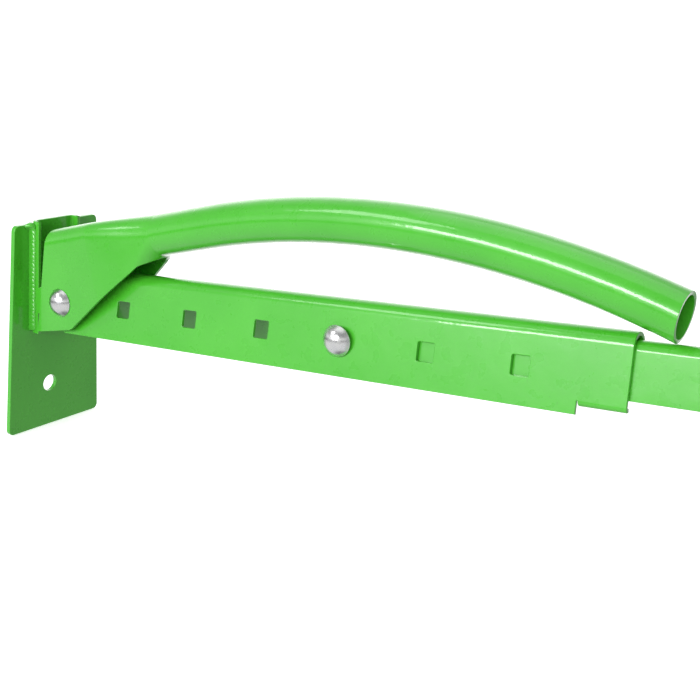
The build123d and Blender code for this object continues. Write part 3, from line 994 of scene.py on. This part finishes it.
def fastening(name, seat, neck_length, neck_turn, x, z):
    nut_seat = seat + WASHER_THICKNESS
    tip = nut_seat + NUT_HEIGHT + COLLAR_HEIGHT + THREAD_PAST_NUT
    bolt = laid_across(carriage_bolt(seat, tip, neck_length), x, -seat, z, neck_turn)
    make_piece(f"{name}_bolt", *bolt)
    make_piece(f"{name}_washer", *laid_across(washer(), x, seat, z))
    flipped = Matrix.Rotation(pi, 4, "X")
    points, faces = lock_nut()
    points = [tuple(flipped @ Vector(point)) for point in points]
    make_piece(f"{name}_nut", *laid_across((points, faces), x, nut_seat, z))


# ---- build -------------------------------------------------------------------------------------
outer_channel()
inner_channel()
make_lever()
make_piece("left_end_plate", *end_plate())
make_piece("right_end_plate", *turned_about(end_plate()))
make_piece("left_bracket", *bracket(False))
make_piece("right_bracket", *mirrored_x(bracket(True)))
left_welds = joined([weld_bead(-1), weld_bead(1)])
make_piece("left_bracket_welds", *left_welds)
make_piece("right_bracket_welds", *mirrored_x(left_welds))
wall_foot = CHANNEL_HALF_WIDTH + HEAD_RADIUS * tan(LEAN) + 0.02
fastening("left_pivot", CLEVIS_HALF_WIDTH, LEFT_NECK_LENGTH, 0, LEFT_PIVOT.x, LEFT_PIVOT.z)
fastening(
    "right_pivot", BRACKET_HALF_WIDTH, RIGHT_NECK_LENGTH, -PLATE_TILT, RIGHT_PIVOT.x, RIGHT_PIVOT.z
)
fastening("length", wall_foot, LOCK_NECK_LENGTH, 0, LOCK_X, HOLE_LINE_Z)
for bush in ("left_pivot_bush", "right_pivot_bush"):
    kept = frame["nodes"][bush]
    kept.data.materials.clear()
    kept.data.materials.append(MATERIALS[SLOT_OF[bush]])


# ---- studio ------------------------------------------------------------------------------------
# Directions first, then the strength of the world's light in each zone.
WORLD_BACK = (-0.56, 0.83, 0.0)
RIGHT_BACK = (0.6, 0.8, 0.0)
BACK_SKY = 2.2
UPPER_BACK = (-0.40, 0.59, 0.70)
UPPER_BACK_SKY = 0.9
FRONT_SKY = 0.40
LOW_SKY = 1.10
FRONT_GROUND = 1.0
DARK_SIDE = 0.55
STRAIGHT_DOWN = 0.25
HORIZON = 0.08
FLOOR_GLOW = 0.55
FLOOR_HALF_SIZE = 30.0
FLOOR_DROP = 0.0004       # keeps the floor clear of the feet

CAMERA_SENSOR = 36.0
CAMERA_LENS = 60.10
CAMERA_PLACE = (0.14135, -0.48808, 0.22327)
CAMERA_RIGHT = Vector((0.82988, 0.55768, -0.01725))
CAMERA_FORWARD = Vector((-0.54493, 0.80349, -0.23968))


def floor_plane():
    mesh = bpy.data.meshes.new("floor")
    size = FLOOR_HALF_SIZE
    corners = [(-size, -size, 0), (size, -size, 0), (size, size, 0), (-size, size, 0)]
    mesh.from_pydata(corners, [], [(0, 1, 2, 3)])
    mesh.materials.append(studio_floor())
    plane = bpy.data.objects.new("floor", mesh)
    plane.location.z = -FLOOR_DROP
    plane.visible_diffuse = False
    plane.visible_glossy = False
    bpy.context.scene.collection.objects.link(plane)


def area_light(name, place, target, width, height, power):
    light = bpy.data.lights.new(name, "AREA")
    light.shape = "RECTANGLE"
    light.size, light.size_y = width, height
    light.energy = power
    lamp = bpy.data.objects.new(name, light)
    lamp.location = place
    lamp.rotation_mode = "QUATERNION"
    lamp.rotation_quaternion = (Vector(target) - Vector(place)).to_track_quat("-Z", "Y")
    bpy.context.scene.collection.objects.link(lamp)
    return lamp


def studio_world():
    """Light round the bar: bright behind, softer in front and to the right, dark straight below.

    The floor gives no bounce of its own, so the lower half of the world stands in for it.
    """
    world = bpy.data.worlds.new("studio")
    nodes = Nodes(world)
    direction = nodes.add("ShaderNodeTexCoord").outputs["Generated"]
    height = nodes.add("ShaderNodeSeparateXYZ", {"Vector": direction}).outputs["Z"]

    def towards(aim, low, high):
        dot = nodes.add("ShaderNodeVectorMath", operation="DOT_PRODUCT")
        nodes.put(dot.inputs[0], direction)
        nodes.put(dot.inputs[1], aim)
        return nodes.ramp(dot.outputs["Value"], low, high)

    sky = nodes.mix_number(nodes.ramp(height, 0.25, 0.45), LOW_SKY, FRONT_SKY)
    sky = nodes.mix_number(nodes.ramp(height, 0.04, 0.12), HORIZON, sky)
    ground = nodes.mix_number(nodes.ramp(height, -0.12, -0.05), FRONT_GROUND, HORIZON)
    ground = nodes.mix_number(nodes.ramp(height, -0.85, -0.97), ground, STRAIGHT_DOWN)
    front = nodes.mix_number(nodes.ramp(height, -0.02, 0.02), ground, sky)
    beside = nodes.mix_number(towards(RIGHT_BACK, 0.05, 0.5), front, DARK_SIDE)
    overhead = nodes.mix_number(nodes.ramp(height, 0.5, 0.8), beside, FRONT_SKY)
    upper = nodes.mix_number(towards(UPPER_BACK, 0.75, 0.92), overhead, UPPER_BACK_SKY)
    level = nodes.mix_number(towards(WORLD_BACK, 0.62, 0.85), upper, BACK_SKY)
    background = nodes.add("ShaderNodeBackground", {"Strength": level})
    output = nodes.add("ShaderNodeOutputWorld")
    nodes.tree.links.new(background.outputs[0], output.inputs["Surface"])
    bpy.context.scene.world = world


def photo_camera():
    """Fitted to the square holes and the sheet edges of the left half."""
    data = bpy.data.cameras.new("camera")
    data.sensor_width = CAMERA_SENSOR
    data.lens = CAMERA_LENS
    data.clip_start = 0.01
    camera = bpy.data.objects.new("camera", data)
    right = CAMERA_RIGHT.normalized()
    forward = CAMERA_FORWARD.normalized()
    up = right.cross(forward)
    matrix = Matrix((right, up, -forward)).transposed().to_4x4()
    matrix.translation = CAMERA_PLACE
    camera.matrix_world = matrix
    bpy.context.scene.collection.objects.link(camera)
    bpy.context.scene.camera = camera


floor_plane()
studio_world()
key = area_light("key", (0.35, -2.15, 0.55), (-0.15, 0, 0.08), 0.9, 0.7, 18.5)
key.visible_glossy = False
area_light("top", (-0.1, 0.0, 2.2), (-0.1, 0.0, 0.0), 2.0, 2.0, 10.0)
area_light("soft_box", (-1.07, -0.97, 1.37), (-0.25, 0, 0.09), 0.55, 0.4, 3.0)
area_light("strip", (-0.4, -1.3, 0.61), (-0.1, 0, 0.12), 0.9, 0.26, 11.0)
photo_camera()
bpy.context.scene.view_settings.view_transform = "Standard"
